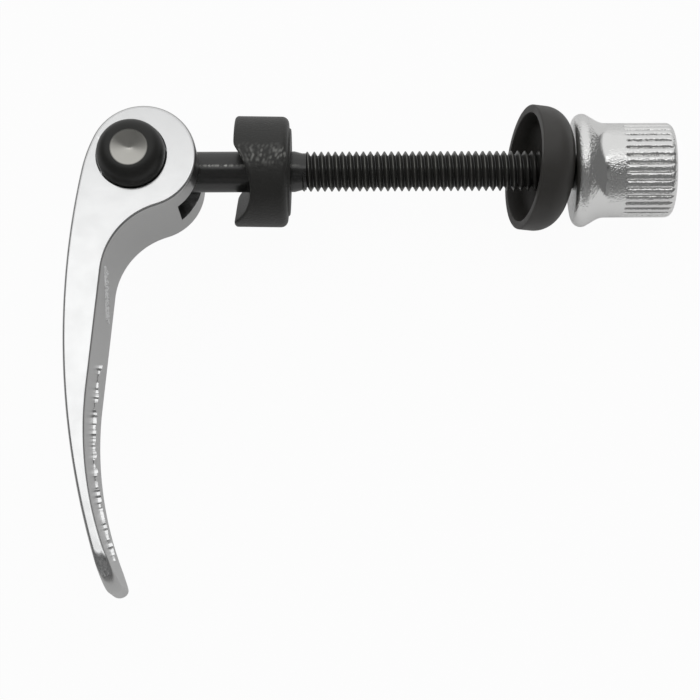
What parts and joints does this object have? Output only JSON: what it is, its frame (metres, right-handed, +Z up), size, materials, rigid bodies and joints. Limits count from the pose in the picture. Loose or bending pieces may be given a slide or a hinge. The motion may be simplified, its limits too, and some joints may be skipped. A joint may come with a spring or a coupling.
{
  "type": "seat binder bolt",
  "caption": "Quick-release bolt that clamps a bicycle's seat collar, with a cam lever, a threaded rod, a cam washer, a cup washer and a knurled nut.",
  "frame": {"origin": "on the rod's axis, in the plane of the cam washer's flat back, where the first ear of the seat collar starts", "axes": "+X along the rod towards the nut, as nearly as the bolt lies level on a table; +Y away from the lever's tip; +Z up, across the pivot pin"},
  "size_m": [0.0856, 0.0694, 0.0226],
  "materials": {
    "lever_metal": "fine satin, brushed lightly along the lever",
    "black_steel": "satin black oxide on turned steel",
    "rod_steel": "satin black oxide with brighter crests on the thread",
    "black_plastic": "moulded, slightly rough",
    "cup_plastic": "moulded, smooth",
    "plated_steel": "bright nickel plating"
  },
  "bodies": {
    "rod_and_pin": {"rod": "rod_steel", "pivot_pin": "black_steel"},
    "lever": {"lever": "lever_metal"},
    "cam_washer": {"cam_washer": "black_plastic"},
    "cup_washer": {"cup_washer": "cup_plastic"},
    "nut": {"nut": "plated_steel"}
  },
  "joints": [
    {"name": "lever_pivot", "type": "hinge", "parent": "rod_and_pin", "child": "lever", "pos_m": [-0.02182, 0, 0.00113], "axis": [-0.0515, 0.0635, -0.9967], "range_deg": [-20, 180]},
    {"name": "cam_washer_slide", "type": "slide", "parent": "rod_and_pin", "child": "cam_washer", "axis": [0.9987, 0, -0.0516], "range_m": [-0.0048, 0.017]},
    {"name": "cup_slide", "type": "slide", "parent": "rod_and_pin", "child": "cup_washer", "axis": [0.9987, 0, -0.0516], "range_m": [-0.012, 0.008]},
    {"name": "nut_spin", "type": "hinge", "parent": "cup_washer", "child": "nut", "pos_m": [0, 0, 0], "axis": [0.9987, 0, -0.0516], "range_deg": [-4320, 2880]}
  ],
  "couplings": [
    {"joint": "cup_slide", "follows": "nut_spin", "m_per_rad": 0.00015915}
  ]
}
